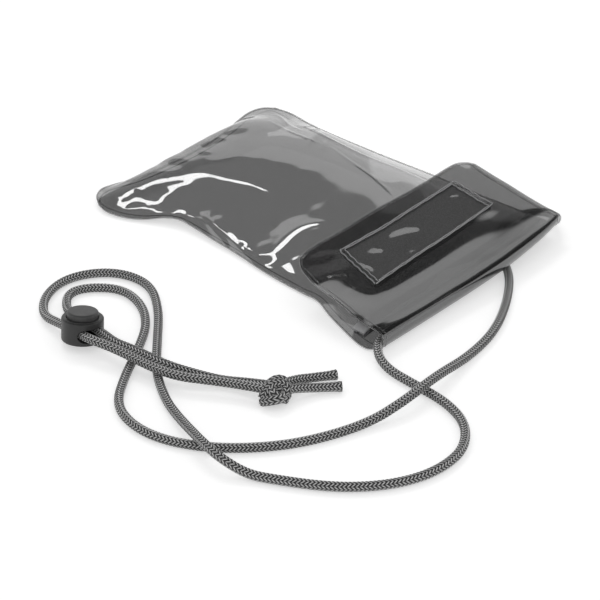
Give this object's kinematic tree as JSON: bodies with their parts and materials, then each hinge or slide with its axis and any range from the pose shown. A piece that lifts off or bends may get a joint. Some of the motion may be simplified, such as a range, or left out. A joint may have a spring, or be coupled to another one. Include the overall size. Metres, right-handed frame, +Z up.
{
  "type": "waterproof phone case",
  "caption": "Soft see-through pouch for a phone, its mouth zipped and folded over as a hook-and-loop flap, with a braided neck cord and a sprung push-button cord lock.",
  "frame": {"origin": "middle of the closed and folded pouch in plan, on the surface it lies on, left and right edges and both ends measured without the neck cord", "axes": "+X from the closed end to the fold, +Y to the far long side, +Z up"},
  "size_m": [0.2355, 0.2333, 0.0202],
  "materials": {
    "smoke_film": "soft smoke-tinted see-through PVC film, glossy",
    "zip_plastic": "moulded translucent plastic",
    "hook_and_loop": "woven hook-and-loop tape",
    "cord": "round braided polyester cord",
    "lock_plastic": "moulded plastic, fine spark texture",
    "spring_steel": "bright drawn spring wire"
  },
  "bodies": {
    "pouch_and_cord": {"front_sheet": "smoke_film", "back_sheet": "smoke_film", "zip_rib_strip": "zip_plastic", "zip_groove_strip": "zip_plastic", "loop_pad": "hook_and_loop", "hook_pad": "hook_and_loop", "neck_cord": "cord", "cord_tail_1": "cord", "cord_tail_2": "cord", "cord_knot": "cord"},
    "lock_barrel": {"cord_lock_barrel": "lock_plastic", "cord_lock_spring": "spring_steel"},
    "lock_button": {"cord_lock_button": "lock_plastic"}
  },
  "joints": [
    {"name": "lock_slide", "type": "slide", "parent": "pouch_and_cord", "child": "lock_barrel", "axis": [0.9839, -0.1392, 0.1122], "range_m": [0, 0.006]},
    {"name": "button_press", "type": "slide", "parent": "lock_barrel", "child": "lock_button", "axis": [0.0895, -0.1602, -0.983], "range_m": [0, 0.0016], "stiffness_N_per_m": 1500, "springref_m": -0.001, "deforming": ["cord_lock_spring"]}
  ]
}
